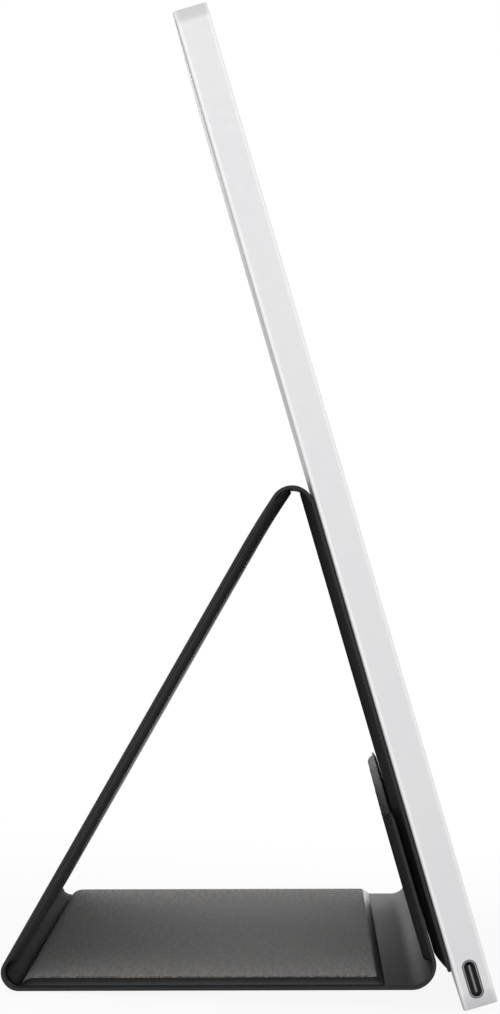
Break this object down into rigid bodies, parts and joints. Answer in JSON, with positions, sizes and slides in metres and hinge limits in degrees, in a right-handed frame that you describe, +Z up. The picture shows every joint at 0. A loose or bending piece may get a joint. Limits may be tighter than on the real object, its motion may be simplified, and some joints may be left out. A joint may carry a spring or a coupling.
{
  "type": "portable monitor with folding cover",
  "caption": "Slim landscape portable monitor leaning on a folio cover folded into a triangular stand, with hinged cover panels, side ports and a power key.",
  "frame": {"origin": "centre of the footprint of the standing object, on the table", "axes": "+X along the width, to the right of a person facing the screen's back; the screen faces -Y and leans back towards +Y; +Z up from the table"},
  "size_m": [0.3604, 0.1162, 0.2326],
  "materials": {
    "silver_housing": "fine bead-blasted, silver white",
    "silver_key": "satin",
    "screen_glass": "smooth, dark",
    "black_adhesive": "matte",
    "dark_cell": "smooth",
    "diffuser_film": "matte white film",
    "clear_acrylic": "clear",
    "thin_steel": "plated sheet",
    "led_package": "matte",
    "amber_film": "polyimide film",
    "circuit_board": "solder mask",
    "black_plastic": "moulded",
    "pad_rubber": "matte silicone",
    "port_metal": "dark plated",
    "pale_film": "flat cable",
    "magnet_plate": "nickel plated",
    "black_leather": "fine grained",
    "cover_lining": "fine grained, matte",
    "stiff_board": "board",
    "pad_suede": "short brushed pile"
  },
  "bodies": {
    "monitor": {"rear_housing": "silver_housing", "cover_glass": "screen_glass", "glass_adhesive": "black_adhesive", "lcd_cell": "dark_cell", "optical_sheets": "diffuser_film", "light_guide": "clear_acrylic", "reflector_sheet": "diffuser_film", "panel_tray": "thin_steel", "led_strip": "led_package", "panel_flexes": "amber_film", "driver_board": "circuit_board", "main_board": "circuit_board", "scaler_chip": "black_plastic", "thermal_pad": "pad_rubber", "shield_can": "thin_steel", "left_port_board": "circuit_board", "right_port_board": "circuit_board", "left_usb_shell": "port_metal", "left_usb_tongue": "black_plastic", "right_usb_shell": "port_metal", "right_usb_tongue": "black_plastic", "board_cables": "pale_film", "board_screws": "thin_steel", "housing_magnets": "magnet_plate", "power_switch": "black_plastic"},
    "power_key": {"power_key": "silver_key"},
    "mount_panel": {"mount_skin": "black_leather", "mount_board": "cover_lining", "mount_magnets": "magnet_plate"},
    "stand_leg": {"leg_skin": "black_leather", "leg_board": "cover_lining", "peak_fold_skin": "black_leather"},
    "base": {"base_skin": "black_leather", "base_board": "stiff_board", "base_pad": "pad_suede", "rear_fold_skin": "black_leather", "rear_fold_lining": "cover_lining"},
    "flap": {"flap_skin": "black_leather", "flap_board": "cover_lining", "flap_magnets": "magnet_plate", "front_fold_skin": "black_leather"}
  },
  "joints": [
    {"name": "cover_release", "type": "slide", "parent": "monitor", "child": "mount_panel", "axis": [0, 0.9459, -0.3244], "range_m": [0, 0.03]},
    {"name": "peak_fold", "type": "hinge", "parent": "mount_panel", "child": "stand_leg", "pos_m": [0, -0.00498, 0.12097], "axis": [1, 0, 0], "range_deg": [0, 133.8], "deforming": ["peak_fold_skin"]},
    {"name": "rear_fold", "type": "hinge", "parent": "stand_leg", "child": "base", "pos_m": [0, 0.05387, 0.0042], "axis": [1, 0, 0], "range_deg": [-60.5, 0], "deforming": ["rear_fold_skin", "rear_fold_lining"]},
    {"name": "front_fold", "type": "hinge", "parent": "base", "child": "flap", "pos_m": [0, -0.04199, 0.00727], "axis": [1, 0, 0], "range_deg": [0, 106.5], "deforming": ["front_fold_skin"]},
    {"name": "power_key_press", "type": "slide", "parent": "monitor", "child": "power_key", "axis": [-1, 0, 0], "range_m": [0, 0.0003], "stiffness_N_per_m": 1500, "springref_m": -0.0005}
  ],
  "couplings": [
    {"joint": "rear_fold", "follows": "peak_fold", "ratio": -0.44855},
    {"joint": "front_fold", "follows": "peak_fold", "ratio": 0.79185}
  ]
}
